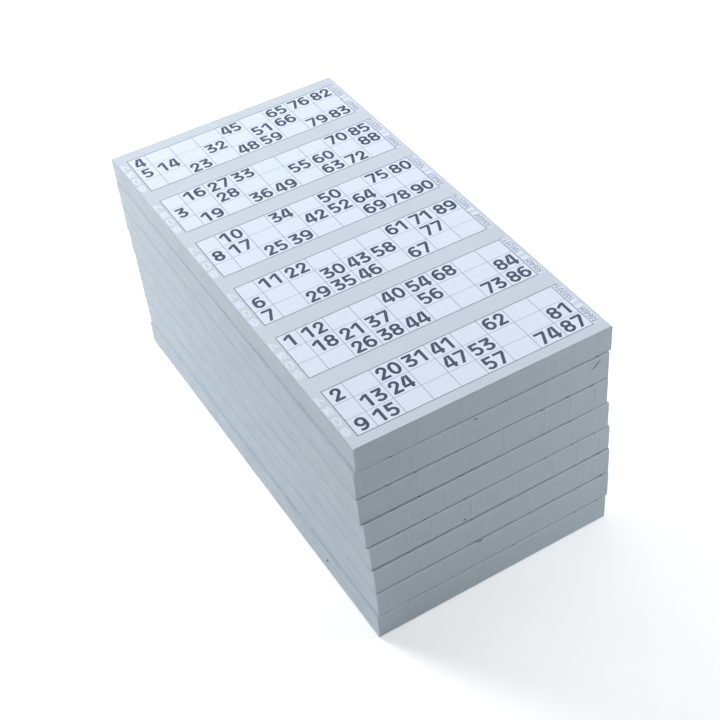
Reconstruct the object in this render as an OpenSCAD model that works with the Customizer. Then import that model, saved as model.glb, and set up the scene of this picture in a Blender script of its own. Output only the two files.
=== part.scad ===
// A stack of eight gummed pads of bingo sheets, each sheet printed with six tickets.
// X runs across a sheet in the reading direction, Y runs up the page and Z is up. The
// origin is the middle of the stack's underside, and the gummed long edges face -X.

/* [Sheet] */
// Width of a sheet, across its tickets
sheet_w = 125; // [100:1:160]
// Length of a sheet, down its six tickets
sheet_l = 240; // [180:1:300]
// Thickness of one leaf of paper
paper_t = 0.1; // [0.06:0.01:0.2]

/* [Pads] */
// Leaves in a full pad
full_leaves = 125; // [60:1:200]
// Leaves left in the top pad, which is in use
top_leaves = 112; // [30:1:200]
// Mean air gap from one leaf to the next
air_t = 0.022; // [0.015:0.001:0.04]
// Greatest sideways slip of a pad against the top pad
slip_x = 1.8; // [0:0.1:4]
// Greatest slip of a pad towards the foot of the page
slip_y = 1; // [0:0.1:3]
// Greatest twist of a pad against the top pad, in degrees
twist = 0.45; // [0:0.05:1.5]

/* [Cut edges] */
// How far the first and last leaf of a pad stand back from its cut face
nose_depth = 0.3; // [0:0.05:1]
// Leaves over which a pad's cut face comes out to full size
nose_leaves = 5; // [1:1:12]
// Greatest unevenness of the cut from leaf to leaf
rag_depth = 0.06; // [0:0.01:0.2]

/* [Gum] */
// Thickness of the gum film halfway up the pad
gum_t = 0.35; // [0.15:0.05:1]
// Thickness of the gum film along its upper and lower border
gum_border_t = 0.1; // [0.05:0.01:0.12]
// How far the gum stops short of the pad's upper and lower face
gum_inset = 0.12; // [0.05:0.01:0.5]
// Height over which the gum swells from its border to full thickness
gum_swell = 2; // [0.5:0.1:3]

/* [Hidden] */
PADS = 8;
TURNING = 6;
edge_grey = "lightsteelblue";
sheet_grey = "gainsboro";
gum_grey = "silver";

// Pads are counted from the bottom of the stack, and lie a little askew as they were
// put down. Each table has one share for each pad.
slip_x_shares = [0.6, 1, 0.9, 0.7, 0.25, -0.25, -0.3, 0];
slip_y_shares = [-0.9, -1, -0.8, -0.5, -0.35, -0.15, -0.1, 0];
twist_shares = [0.95, 1, 1, 0.65, 0.2, -0.4, -0.55, 0];
air_shares = [0.8, 1.3, 1.2, 0.95, 1.1, 1.15, 1.1, 1];

// Swell of the gum from its border inwards: shares of the swell's height, each with
// the share of the full thickness reached there
swell_shares = [[0, 0], [0.2, 0.6], [0.5, 0.87], [1, 1]];

rag_seed = 41;

function leaf_count(p) = p == PADS ? top_leaves : full_leaves;
function pitch(p) = paper_t + air_t * air_shares[p - 1];
function pad_h(p) = leaf_count(p) * pitch(p);
function pad_z(p) = p == 1 ? 0 : pad_z(p - 1) + pad_h(p - 1);
function pad_x(p) = slip_x * slip_x_shares[p - 1];
function pad_y(p) = slip_y * slip_y_shares[p - 1];
function pad_twist(p) = twist * twist_shares[p - 1];
function leaf_top(p, i) = i * pitch(p) + paper_t;

// Corners of a pad, gum included, seen from above
function turned(v, a) = [v.x * cos(a) - v.y * sin(a), v.x * sin(a) + v.y * cos(a)];
function pad_corners(p) = [
  for (x = [-sheet_w / 2 - gum_t, sheet_w / 2], y = [-sheet_l / 2, sheet_l / 2])
    [pad_x(p), pad_y(p)] + turned([x, y], pad_twist(p))
];
corners = [for (p = [1 : PADS]) each pad_corners(p)];
xs = [for (c = corners) c.x];
ys = [for (c = corners) c.y];
middle = [(min(xs) + max(xs)) / 2, (min(ys) + max(ys)) / 2];

// How far leaf i stands back because the cut rounds a pad's upper and lower face
function stand_back(p, i) =
  let (depth_in = min(i, leaf_count(p) - 1 - i))
  nose_depth * pow(max(0, 1 - depth_in / nose_leaves), 2);

module in_pad(p)
  translate([pad_x(p) - middle.x, pad_y(p) - middle.y, pad_z(p)])
    rotate([0, 0, pad_twist(p)])
      children();

// Leaf i of pad p, counted from the pad's underside: flush at the gummed edge, and cut
// a little unevenly along the other three
module leaf(p, i) {
  rag = rands(0, rag_depth, 3, rag_seed + p * full_leaves + i);
  trims = rag + stand_back(p, i) * [1, 1, 1];
  foot = trims[0];
  side = trims[1];
  head = trims[2];
  translate([-sheet_w / 2, foot - sheet_l / 2, i * pitch(p)])
    cube([sheet_w - side, sheet_l - foot - head, paper_t]);
}

module leaves(p) {
  apart = p == PADS ? TURNING : 1;
  color(edge_grey)
    in_pad(p)
      for (i = [0 : leaf_count(p) - 1 - apart])
        leaf(p, i);
}

module top_sheet(p)
  color(sheet_grey)
    in_pad(p)
      leaf(p, leaf_count(p) - 1);

// Turning sheet k of the top pad, counted down from the top
module turning_sheet(k)
  color(sheet_grey)
    in_pad(PADS)
      leaf(PADS, leaf_count(PADS) - k);

// The gum is brushed on the long edge of a pressed pad: a film that thins out towards
// the pad's upper and lower face, and is cut off square with the leaves at both ends
module gum(p) {
  bottom = gum_inset;
  top = leaf_top(p, leaf_count(p) - 1) - gum_inset;
  swell = min(gum_swell, (top - bottom) / 3);
  swollen = [for (s = swell_shares)
    [-gum_border_t - (gum_t - gum_border_t) * s[1], swell * s[0]]];
  rise = [for (s = swollen) [s.x, bottom + s.y]];
  fall = [for (n = [len(swollen) - 1 : -1 : 0]) [swollen[n].x, top - swollen[n].y]];
  color(gum_grey)
    in_pad(p)
      translate([-sheet_w / 2, sheet_l / 2, 0])
        rotate([90, 0, 0])
          linear_extrude(sheet_l)
            polygon(concat([[0, bottom]], rise, fall, [[0, top]]));
}

leaves(1);  // pad_1_leaves
gum(1);  // pad_1_gum
top_sheet(1);  // pad_1_top_sheet
leaves(2);  // pad_2_leaves
gum(2);  // pad_2_gum
top_sheet(2);  // pad_2_top_sheet
leaves(3);  // pad_3_leaves
gum(3);  // pad_3_gum
top_sheet(3);  // pad_3_top_sheet
leaves(4);  // pad_4_leaves
gum(4);  // pad_4_gum
top_sheet(4);  // pad_4_top_sheet
leaves(5);  // pad_5_leaves
gum(5);  // pad_5_gum
top_sheet(5);  // pad_5_top_sheet
leaves(6);  // pad_6_leaves
gum(6);  // pad_6_gum
top_sheet(6);  // pad_6_top_sheet
leaves(7);  // pad_7_leaves
gum(7);  // pad_7_gum
top_sheet(7);  // pad_7_top_sheet
leaves(8);  // pad_8_leaves
gum(8);  // pad_8_gum
turning_sheet(1);  // turning_sheet_1
turning_sheet(2);  // turning_sheet_2
turning_sheet(3);  // turning_sheet_3
turning_sheet(4);  // turning_sheet_4
turning_sheet(5);  // turning_sheet_5
turning_sheet(6);  // turning_sheet_6
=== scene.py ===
import math
import random

import bmesh
import bpy
from mathutils import Matrix, Vector, noise


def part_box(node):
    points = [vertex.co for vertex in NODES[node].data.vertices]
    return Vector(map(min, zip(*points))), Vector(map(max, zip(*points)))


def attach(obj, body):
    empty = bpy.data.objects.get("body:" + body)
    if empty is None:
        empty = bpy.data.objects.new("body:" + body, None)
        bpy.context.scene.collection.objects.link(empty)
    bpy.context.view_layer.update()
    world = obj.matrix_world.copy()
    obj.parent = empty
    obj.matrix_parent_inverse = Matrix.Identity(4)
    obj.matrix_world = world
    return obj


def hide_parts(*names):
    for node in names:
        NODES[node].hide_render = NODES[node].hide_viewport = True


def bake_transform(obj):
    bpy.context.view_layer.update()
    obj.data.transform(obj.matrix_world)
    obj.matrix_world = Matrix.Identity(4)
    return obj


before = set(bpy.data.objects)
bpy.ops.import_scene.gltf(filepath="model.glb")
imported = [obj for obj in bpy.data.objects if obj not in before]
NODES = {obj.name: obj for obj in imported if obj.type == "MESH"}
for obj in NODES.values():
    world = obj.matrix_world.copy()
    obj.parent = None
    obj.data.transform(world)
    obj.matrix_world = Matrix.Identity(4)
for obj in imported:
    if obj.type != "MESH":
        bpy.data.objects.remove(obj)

bl_info = {
    "name": "Bingo Pads",
    "version": (1, 0, 0),
    "blender": (4, 5, 0),
    "location": "View3D > Sidebar > Bingo Pads",
    "description": "Prints, gums and cuts a stack of loose bingo pads",
    "category": "Object",
}

MM = 0.001
SEED = 90

PADS = sum(name.endswith("_gum") for name in NODES)
TURNING = sum(name.startswith("turning_sheet_") for name in NODES)
TOP_BODY = f"pad_{PADS}"
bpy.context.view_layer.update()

# The six tickets of a sheet, head to foot. A dot is an empty cell.
TICKETS = [
    ["4 . . . 45 . 65 76 82", "5 14 . 32 . 51 66 . .", ". . 23 . 48 59 . 79 83"],
    [". 16 27 33 . . . 70 85", "3 . 28 . . 55 60 . 88", ". 19 . 36 49 . 63 72 ."],
    [". 10 . 34 . 50 . 75 80", "8 17 . . 42 52 64 . .", ". . 25 39 . . 69 78 90"],
    [". 11 22 . . . 61 71 89", "6 . . 30 43 58 . 77 .", "7 . 29 35 46 . 67 . ."],
    ["1 12 . . 40 54 68 . .", ". 18 21 37 . 56 . . 84", ". . 26 38 44 . . 73 86"],
    ["2 . 20 31 41 . 62 . .", ". 13 24 . 47 53 . . 81", "9 15 . . . 57 . 74 87"],
]
ROWS = len(TICKETS[0])
COLUMNS = len(TICKETS[0][0].split())


def srgb(red, green, blue):
    """A colour seen on a screen, 0 to 255, in the linear values that a shader takes."""
    shares = [value / 255 for value in (red, green, blue)]
    return [s / 12.92 if s <= 0.04045 else ((s + 0.055) / 1.055) ** 2.4 for s in shares]


def number(name, description, value, **options):
    """A number that a user may change."""
    return bpy.props.FloatProperty(name=name, description=description, default=value, **options)


def length(name, description, value):
    """A size in millimetres that a user may change."""
    return number(name, description, value * MM, min=0, unit="LENGTH", precision=5)


def contrast(share):
    """How wide a digit's level strokes are beside its upright ones."""
    return number("Contrast", "Level strokes beside upright ones", share, min=0.5, max=1.5)


def colour(name, description, *levels):
    """A colour that a user may change, given as it looks on a screen."""
    return bpy.props.FloatVectorProperty(
        name=name, description=description, default=srgb(*levels), min=0, max=1, size=3, subtype="COLOR"
    )


class CallerStyle(bpy.types.PropertyGroup):
    """The large numbers in the cells."""

    width: length("Width", "Width of a digit", 5.1)
    height: length("Height", "Height of a digit", 7.6)
    stroke: length("Stroke", "Width of an upright stroke", 1.42)
    contrast: contrast(0.92)
    gap: length("Gap", "Space between two digits", 0.5)


class SerialStyle(bpy.types.PropertyGroup):
    """The small numbers in the white patches."""

    width: length("Width", "Width of a digit", 1.55)
    height: length("Height", "Height of a digit", 2.8)
    stroke: length("Stroke", "Width of an upright stroke", 0.38)
    contrast: contrast(0.9)
    gap: length("Gap", "Space between two digits", 0.35)


class SeriesStyle(bpy.types.PropertyGroup):
    """The wide white numbers in the left margin."""

    width: length("Width", "Width of a digit", 5.4)
    height: length("Height", "Height of a digit", 3.4)
    stroke: length("Stroke", "Width of an upright stroke", 0.9)
    contrast: contrast(1)
    gap: length("Gap", "Space between two digits", 1.5)


class TicketLayout(bpy.types.PropertyGroup):
    """Where the print stands on a sheet."""

    left_margin: length("Left margin", "Gummed edge to the first ruled line", 5.16)
    head_margin: length("Head margin", "Far edge to the first ticket", 7.0)
    pitch: length("Ticket pitch", "From one ticket to the next", 39.47)
    grid_width: length("Grid width", "Width of a ticket's ruled grid", 114.07)
    grid_height: length("Grid height", "Height of a ticket's ruled grid", 29.73)
    first_column: number("First column", "Width of the units column beside the others", 0.72)
    border: length("Border line", "Width of the line round a ticket", 0.4)
    column_line: length("Column line", "Width of a line between columns", 0.36)
    row_line: length("Row line", "Width of a line between rows", 0.27)
    patch_width: length("Serial patch width", "Width of the white serial patch", 3.9)
    patch_gap: length("Serial patch gap", "Space between the two patches of a ticket", 1.5)
    series_side: length("Series offset", "Gummed edge to the series number", 0.5)


class PaperSettings(bpy.types.PropertyGroup):
    """Where a turning sheet is cut so that it can bend, and how thick the print stands."""

    bend_start: length("Bend start", "Gummed edge to where a turning sheet begins to bend", 0.3)
    bend_end: length("Bend end", "Gummed edge to where a turning sheet is flat again", 4.9)
    bend_cuts: bpy.props.IntProperty(
        name="Bend cuts", description="Cuts that let a turning sheet bend", default=24, min=4
    )
    sink: length("Print sink", "How deep the print reaches into the paper", 0.02)
    field_rise: length("Field rise", "White fields above the paper", 0.004)
    row_rise: length("Row line rise", "Row lines above the paper", 0.006)
    column_rise: length("Column line rise", "Column lines above the paper", 0.008)
    border_rise: length("Border rise", "Border above the paper", 0.010)
    number_rise: length("Number rise", "Numbers above the paper", 0.012)


class Colours(bpy.types.PropertyGroup):
    """Colours of the papers, inks and gum, and of the shade painted at the seams between pads."""

    tint: colour("Tint", "Tinted print over the whole sheet", 208, 218, 230)
    tint_deep: colour("Deep tint", "The tint where it prints heavier", 199, 209, 222)
    white: colour("Unprinted paper", "Ticket fields and serial patches", 226, 236, 252)
    white_deep: colour("Unprinted paper, cloudy", "The same paper where it is denser", 221, 231, 248)
    number_ink: colour("Number ink", "Numbers", 40, 54, 82)
    border_ink: colour("Border ink", "Lines round a ticket", 104, 113, 128)
    column_ink: colour("Column ink", "Lines between columns", 163, 172, 190)
    row_ink: colour("Row ink", "Lines between rows", 160, 169, 186)
    serial_ink: colour("Serial ink", "Small numbers in the serial patches", 118, 129, 148)
    edge: colour("Cut edge", "Cut edges of the leaves", 200, 212, 219)
    # Partly painted shade on the cut edges of leaves that stand back, partly the deep end of the edges'
    # random tone.
    edge_shaded: colour("Cut edge, shaded", "Cut edges of leaves that stand back", 172, 185, 193)
    # Painted shade at a pad's foot, where the borders of two pads meet. Made deeper, it is also the painted
    # shadow in the pits at the ridges' feet.
    seam: colour("Seam", "Where the borders of two pads meet", 74, 84, 88)
    gum: colour("Gum", "Padding gum", 207, 219, 231)
    gum_deep: colour("Gum, thin", "Padding gum where it is thin", 187, 201, 211)
    # Painted shade along the border of a gum film, where two pads meet.
    gum_seam: colour("Gum seam", "The border of a gum film", 152, 167, 170)
    mark: colour("Blade mark", "Ridges left by the blade's nicks", 208, 219, 226)
    speck: colour("Speck", "Crumbs caught in a cut face", 128, 120, 104)
    fibre: colour("Fibre", "The fibre caught in a cut face", 98, 98, 86)


class StageSettings(bpy.types.PropertyGroup):
    """Camera, lights and floor."""

    camera_place: bpy.props.FloatVectorProperty(
        name="Camera place",
        description="Where the camera stands",
        default=(-226.25 * MM, -459.76 * MM, 521.03 * MM),
        subtype="TRANSLATION",
    )
    camera_turn: bpy.props.FloatVectorProperty(
        name="Camera turn",
        description="How the camera is turned",
        default=[math.radians(angle) for angle in (46.862, 4.187, -30.406)],
        subtype="EULER",
    )
    lens: number("Lens", "Focal length in mm", 70.844)
    key_power: number("Key light", "Power of the light from the left", 10.9, unit="POWER")
    top_power: number("Top light", "Power of the light from above", 9.1, unit="POWER")
    fill_power: number("Fill light", "Power of the light from the right", 4.0, unit="POWER")
    sky: number("Sky", "Strength of the light from all around", 0.04)
    floor_width: length("Floor width", "Diameter of the round floor", 1700)
    floor_colour: colour("Floor", "Floor and background", 244, 246, 248)
    floor_lift: number("Floor lift", "What the camera sees added to the floor", 0.36)


class BingoSettings(bpy.types.PropertyGroup):
    """Everything that a user may set."""

    layout: bpy.props.PointerProperty(type=TicketLayout)
    caller: bpy.props.PointerProperty(type=CallerStyle)
    serial: bpy.props.PointerProperty(type=SerialStyle)
    series: bpy.props.PointerProperty(type=SeriesStyle)
    paper: bpy.props.PointerProperty(type=PaperSettings)
    colours: bpy.props.PointerProperty(type=Colours)
    stage: bpy.props.PointerProperty(type=StageSettings)
    serial_number: bpy.props.IntProperty(
        name="First serial number", description="Serial number of the first ticket", default=1002013
    )
    control_number: bpy.props.IntProperty(
        name="First control number", description="Second number of the first ticket", default=306401
    )
    series_number: bpy.props.StringProperty(
        name="Series number", description="Plain number in the left margin", default="6037"
    )


def settings():
    """The values that the sidebar shows."""
    return bpy.context.scene.bingo


# Modelling

MERGE = 0.001  # mm, where points count as one
FACE_DEPTH = 0.01 * MM  # under a leaf's top, what still counts as its upper face
CUT_REACH = 1e-9  # m, where a cut takes a point as lying on it
FACING = 0.5  # of a face's normal along an axis, past which it counts as facing that way


def alone(piece):
    """Selects one object and nothing else."""
    bpy.ops.object.select_all(action="DESELECT")
    piece.select_set(True)
    bpy.context.view_layer.objects.active = piece


def primitive(add, **options):
    """Adds one of Blender's primitives, with its place and size in its mesh."""
    bpy.ops.object.select_all(action="DESELECT")
    add(**options)
    bpy.ops.object.transform_apply(location=True, rotation=True, scale=True)
    return bpy.context.object


def new_object(name, data):
    """An object for a mesh, a curve, a lamp or a camera, put into the scene."""
    piece = bpy.data.objects.new(name, data)
    bpy.context.scene.collection.objects.link(piece)
    return piece


def edit_all(piece, *steps):
    """Runs edit mode operators on a whole mesh, each given with its options."""
    alone(piece)
    bpy.ops.object.mode_set(mode="EDIT")
    bpy.ops.mesh.select_all(action="SELECT")
    for operator, options in steps:
        operator(**options)
    bpy.ops.object.mode_set(mode="OBJECT")


def cut(piece, place, normal, clear=False):
    """Bisects the whole mesh. With clear, what lies on the normal's side goes and is closed."""
    plane = {"plane_co": place, "plane_no": normal, "threshold": CUT_REACH}
    edit_all(piece, (bpy.ops.mesh.bisect, {**plane, "use_fill": clear, "clear_outer": clear}))


def close_up(piece, distance):
    """Merges double points and turns all faces outwards."""
    merge = (bpy.ops.mesh.remove_doubles, {"threshold": distance})
    edit_all(piece, merge, (bpy.ops.mesh.normals_make_consistent, {"inside": False}))


def join_flat(piece, degrees):
    """Joins the faces that meet at less than an angle."""
    edit_all(piece, (bpy.ops.mesh.dissolve_limited, {"angle_limit": math.radians(degrees)}))


def take_mesh(piece, name):
    """Keeps a modelled mesh as a template, and removes its object."""
    mesh = piece.data
    mesh.name = name
    bpy.data.objects.remove(piece)
    return mesh


def coat(piece, *names):
    """Gives a piece its materials, one slot each."""
    for name in names:
        piece.data.materials.append(bpy.data.materials[name])


def stamped(name, stamps):
    """A new mesh made of template meshes, each copied to its own place."""
    built = bmesh.new()
    for template, place in stamps:
        copy = template.copy()
        copy.transform(place)
        built.from_mesh(copy)
        bpy.data.meshes.remove(copy)
    mesh = bpy.data.meshes.new(name)
    built.to_mesh(mesh)
    built.free()
    return mesh


def stamped_piece(name, stamps):
    """A piece with such a mesh."""
    return new_object(name, stamped(name, stamps))


def leaf_place(node):
    """Where a CAD node's topmost leaf lies: its frame, from the near left corner, and its size."""
    points = [vertex.co for vertex in NODES[node].data.vertices]
    top = max(point.z for point in points)
    face = [point for point in points if point.z > top - FACE_DEPTH]
    near_left = min(face, key=lambda point: point.x + point.y)
    near_right = max(face, key=lambda point: point.x - point.y)
    far_left = min(face, key=lambda point: point.x - point.y)
    across = (near_right - near_left).normalized()
    up = Vector((0, 0, 1))
    place = Matrix.Translation(near_left) @ Matrix((across, up.cross(across), up)).transposed().to_4x4()
    return place, (near_right - near_left).length, (far_left - near_left).length


# Numbers. A stroke's points are shares of the box that the middle of the pen runs in.

ARC_STEPS = 26  # stretches round a whole ring
FOLD = 0.98  # of half a stroke, how near to the pen's path a side may come
CLOSED = 0.01  # of half a stroke, how near to each other the ends of a ring lie
NUMBER_FLAT = 1  # degree, under which a number's faces are joined


def arc(middle_u, middle_v, reach_u, reach_v, start, end):
    """Points on an ellipse, from one angle to another, in degrees."""
    steps = max(3, round(ARC_STEPS * abs(end - start) / 360))
    angles = [math.radians(start + (end - start) * step / steps) for step in range(steps + 1)]
    return [(middle_u + reach_u * math.cos(a), middle_v + reach_v * math.sin(a)) for a in angles]


def ring(middle_u, middle_v, reach_u, reach_v):
    """Points all round an ellipse."""
    return arc(middle_u, middle_v, reach_u, reach_v, 0, 360)


# Strokes that run past the box are trimmed level with its sides, head and foot.
SIX = [ring(0.5, 0.31, 0.5, 0.31), arc(0.61, 0.64, 0.61, 0.36, 52, 180) + [(0, 0.31)]]
STROKES = {
    "0": [arc(0.5, 0.55, 0.5, 0.45, 0, 180) + arc(0.5, 0.45, 0.5, 0.45, 180, 360) + [(1, 0.55)]],
    "1": [[(0.68, -0.2), (0.68, 1.2)], [(-0.18, 0.73), (0.68, 1.06)]],
    "2": [arc(0.49, 0.74, 0.44, 0.26, 202, -36) + [(0.05, 0)], [(-0.13, 0), (1.12, 0)]],
    "3": [
        [(-0.16, 1), (1.05, 1)],
        [(0.94, 0.91), (0.2, 0.53)],
        [(0, 0.52)] + arc(0.47, 0.26, 0.53, 0.26, 90, -157),
    ],
    "4": [[(0.53, 1.15), (-0.13, 0.2), (1.22, 0.2)], [(0.83, -0.2), (0.83, 1.2)]],
    "5": [[(1.03, 1), (0.08, 1), (0.05, 0.45)], arc(0.43, 0.3, 0.52, 0.3, 128, -152)],
    "6": SIX,
    "7": [[(-0.16, 1), (1.08, 1), (0.21, -0.2)]],
    "8": [ring(0.5, 0.265, 0.5, 0.265), ring(0.49, 0.765, 0.46, 0.235)],
    "9": [[(1 - u, 1 - v) for u, v in stroke] for stroke in SIX],
}


def gap_to(point, start, end):
    """How far a point lies from a straight stretch."""
    way = end - start
    share = min(1, max(0, (point - start).dot(way) / way.length_squared))
    return (point - start - way * share).length


def unfolded(side, points, closed, half_width):
    """A side of a stroke without the points that fold back inside a tight curve."""
    stretches = [*zip(points, points[1:])] + ([(points[-1], points[0])] if closed else [])
    return [p for p in side if min(gap_to(p, *stretch) for stretch in stretches) > half_width * FOLD]


def pen_sides(points, half_width):
    """Both sides of a pen stroke, with mitred corners. A stroke that ends where it starts is a ring."""
    closed = (points[0] - points[-1]).length < half_width * CLOSED
    if closed:
        points = points[:-1]
    left, right = [], []
    for step, point in enumerate(points):
        inner = closed or step > 0
        outer = closed or step < len(points) - 1
        before = (point - points[step - 1]).normalized() if inner else None
        after = (points[(step + 1) % len(points)] - point).normalized() if outer else None
        turns = [Vector((-way.y, way.x)) for way in (before, after) if way]
        mitre = (turns[0] + turns[-1]) / (1 + turns[0].dot(turns[-1]))
        left.append(point + mitre * half_width)
        right.append(point - mitre * half_width)
    left, right = (unfolded(side, points, closed, half_width) for side in (left, right))
    return [left, right] if closed else [left + right[::-1]]


def pen_stroke(points, style):
    """One stroke as a closed block of unit thickness, in millimetres.

    It is stretched up until its pen is round, and model_number flattens it again.
    """
    stroke, width = style.stroke / MM, style.width / MM
    height = style.height / style.contrast / MM
    run = [Vector((stroke / 2 + u * (width - stroke), stroke / 2 + v * (height - stroke))) for u, v in points]
    curve = bpy.data.curves.new("stroke", "CURVE")
    curve.dimensions = "2D"
    curve.fill_mode = "BOTH"
    curve.extrude = 0.5
    sides = pen_sides(run, stroke / 2)
    for side in sides:
        spline = curve.splines.new("POLY")
        spline.points.add(len(side) - 1)
        for point, place in zip(spline.points, side):
            point.co = (place.x, place.y, 0, 1)
        spline.use_cyclic_u = True
    piece = new_object("stroke", curve)
    alone(piece)
    bpy.ops.object.convert(target="MESH")
    close_up(piece, MERGE)
    for axis, limit in enumerate((width, height)):
        reach = [point[axis] for side in sides for point in side]
        outwards = Vector((1 - axis, axis, 0))
        if min(reach) < -MERGE:
            cut(piece, (0, 0, 0), -outwards, clear=True)
        if max(reach) > limit + MERGE:
            cut(piece, outwards * limit, outwards, clear=True)
    return piece


def model_number(name, digit, style):
    """One digit: its strokes joined into one block and brought to size."""
    first, *others = [pen_stroke(points, style) for points in STROKES[digit]]
    for other in others:
        join = first.modifiers.new("join", "BOOLEAN")
        join.operation = "UNION"
        join.solver = "EXACT"
        join.object = other
        alone(first)
        bpy.ops.object.modifier_apply(modifier=join.name)
        bpy.data.objects.remove(other)
    join_flat(first, NUMBER_FLAT)
    mesh = take_mesh(first, name)
    mesh.transform(Matrix.Diagonal((MM, MM * style.contrast, 1, 1)) @ Matrix.Translation((0, 0, 0.5)))
    return mesh


# Print. A ticket's own frame starts at the far left corner of its grid, with Y up the page.

INKS = ("row", "column", "border", "serial", "number")
SLANT = 0.2  # of a serial digit's height, how far its head leans
PATCH_ROOM = 0.6  # of a patch's free width, on the side towards the grid
SERIAL_STARTS = (0.85, 0.1)  # of the free length of the far and the near patch


def model_block():
    """The unit block that ruled lines and white fields are stretched from."""
    return take_mesh(primitive(bpy.ops.mesh.primitive_cube_add, size=1), "block")


def in_slot(mesh, slot):
    """A template whose faces all take one material slot."""
    for face in mesh.polygons:
        face.material_index = slot
    return mesh


def film(x0, y0, x1, y1, rise):
    """The matrix that stretches the unit block between two corners, sunk a little into the paper."""
    sink = settings().paper.sink
    middle = ((x0 + x1) / 2, (y0 + y1) / 2, (rise - sink) / 2)
    return Matrix.Translation(middle) @ Matrix.Diagonal((x1 - x0, y1 - y0, rise + sink, 1))


def raised(place, rise):
    """The matrix of a printed number, from its foot at the left."""
    sink = settings().paper.sink
    return place @ Matrix.Translation((0, 0, -sink)) @ Matrix.Diagonal((1, 1, sink + rise, 1))


def row_of_digits(kind, text, place, rise):
    """Stamps for a number, side by side from place."""
    style = getattr(settings(), kind)
    step = style.width + style.gap
    places = [place @ Matrix.Translation((spot * step, 0, 0)) for spot in range(len(text))]
    return [(bpy.data.meshes[f"{kind}_{digit}"], raised(at, rise)) for digit, at in zip(text, places)]


def text_width(kind, text):
    """How long a printed number is."""
    style = getattr(settings(), kind)
    return len(text) * style.width + (len(text) - 1) * style.gap


def upwards(x, y):
    """The place of a number that reads up the page, with its foot on the right."""
    return Matrix.Translation((x, y, 0)) @ Matrix.Rotation(math.radians(90), 4, "Z")


def column_edges():
    """Where a ticket's columns begin and end. The column of the units is narrower."""
    layout = settings().layout
    column = layout.grid_width / (layout.first_column + COLUMNS - 1)
    return [0] + [column * (layout.first_column + step) for step in range(COLUMNS)]


def ruled(kind, x0, y0, x1, y1):
    """The stamp of a row's, a column's or a border's line between two corners."""
    rise = getattr(settings().paper, f"{kind}_rise")
    return bpy.data.meshes[f"{kind}_block"], film(x0, y0, x1, y1, rise)


def rulings():
    """Stamps for a ticket's lines: rows, columns, and the border round them."""
    layout = settings().layout
    wide, high = layout.grid_width, layout.grid_height
    half = layout.row_line / 2
    levels = [-high * row / ROWS for row in range(1, ROWS)]
    lines = [ruled("row", 0, y - half, wide, y + half) for y in levels]
    half = layout.column_line / 2
    lines += [ruled("column", x - half, -high, x + half, 0) for x in column_edges()[1:-1]]
    half = layout.border / 2
    lines += [ruled("border", x - half, -high + half, x + half, -half) for x in (0, wide)]
    lines += [ruled("border", -half, y - half, wide + half, y + half) for y in (0, -high)]
    return lines


def called_numbers(ticket):
    """Stamps for the numbers in a ticket's cells."""
    layout, style = settings().layout, settings().caller
    edges, row_height = column_edges(), layout.grid_height / ROWS
    stamps = []
    for row, cells in enumerate(ticket):
        foot = -row_height * (row + 0.5) - style.height / 2
        for column, text in enumerate(cells.split()):
            if text == ".":
                continue
            left = (edges[column] + edges[column + 1] - text_width("caller", text)) / 2
            place = Matrix.Translation((left, foot, 0))
            stamps += row_of_digits("caller", text, place, settings().paper.number_rise)
    return stamps


def patches():
    """The corners of a ticket's two serial patches, the far one first."""
    layout = settings().layout
    x0 = layout.grid_width + layout.border / 2
    x1 = layout.grid_width + layout.patch_width
    middle = -layout.grid_height / 2
    half_gap = layout.patch_gap / 2
    return [(x0, middle + half_gap, x1, layout.border), (x0, -layout.grid_height, x1, middle - half_gap)]


def serial_numbers(count):
    """Stamps for the two small slanted numbers beside a ticket."""
    style = settings().serial
    texts = [str(settings().serial_number + count), str(settings().control_number + count)]
    slant = Matrix.Identity(4)
    slant[0][1] = SLANT
    stamps = []
    for (x0, y0, x1, y1), text, start in zip(patches(), texts, SERIAL_STARTS):
        room = y1 - y0 - text_width("serial", text)
        foot = x0 + (x1 - x0 - style.height) * PATCH_ROOM + style.height
        digits = row_of_digits("serial", text, upwards(foot, y0 + start * room), settings().paper.number_rise)
        stamps += [(mesh, at @ slant) for mesh, at in digits]
    return stamps


def series_stamps():
    """Stamps for the white number in the left margin, centred beside a ticket's grid."""
    layout, style, text = settings().layout, settings().series, settings().series_number
    start = (-layout.grid_height - text_width("series", text)) / 2
    foot = layout.series_side + style.height - layout.left_margin
    return row_of_digits("series", text, upwards(foot, start), settings().paper.field_rise)


def field_stamps():
    """Stamps for a ticket's unprinted parts: the grid, and the two patches."""
    layout, rise = settings().layout, settings().paper.field_rise
    corners = [(0, -layout.grid_height, layout.grid_width, 0), *patches()]
    return [(bpy.data.meshes["block"], film(*each, rise)) for each in corners]


def bend_places():
    """Where a turning sheet is cut so that it can bend, from its gummed edge."""
    paper = settings().paper
    step = (paper.bend_end - paper.bend_start) / paper.bend_cuts
    return [paper.bend_start + step * spot for spot in range(paper.bend_cuts + 1)]


def down_the_sheet(ticket, sheet_length):
    """The place of a ticket on its sheet, counted from the head."""
    layout = settings().layout
    y = sheet_length - layout.head_margin - ticket * layout.pitch
    return Matrix.Translation((layout.left_margin, y, 0))


def print_sheet(name, count, place, sheet_length, bends=False):
    """The white fields and the inks of one sheet. Each sheet starts with another of the six tickets."""
    white = bpy.data.meshes["bending_fields" if bends else "ticket_fields"]
    spots = [place @ down_the_sheet(spot, sheet_length) for spot in range(len(TICKETS))]
    fields = stamped_piece(f"{name}_fields", [(white, spot) for spot in spots])
    stamps = []
    for step, spot in enumerate(spots):
        ticket = (step + count) % len(TICKETS)
        stamps += [(bpy.data.meshes["ticket_rulings"], spot), (bpy.data.meshes[f"ticket_{ticket}"], spot)]
        stamps += [(mesh, spot @ at) for mesh, at in serial_numbers(count * len(TICKETS) + step)]
    inks = stamped_piece(f"{name}_print", stamps)
    coat(fields, "Unprinted Paper")
    coat(inks, *(f"{ink.title()} Ink" for ink in INKS))
    return fields, inks


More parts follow.
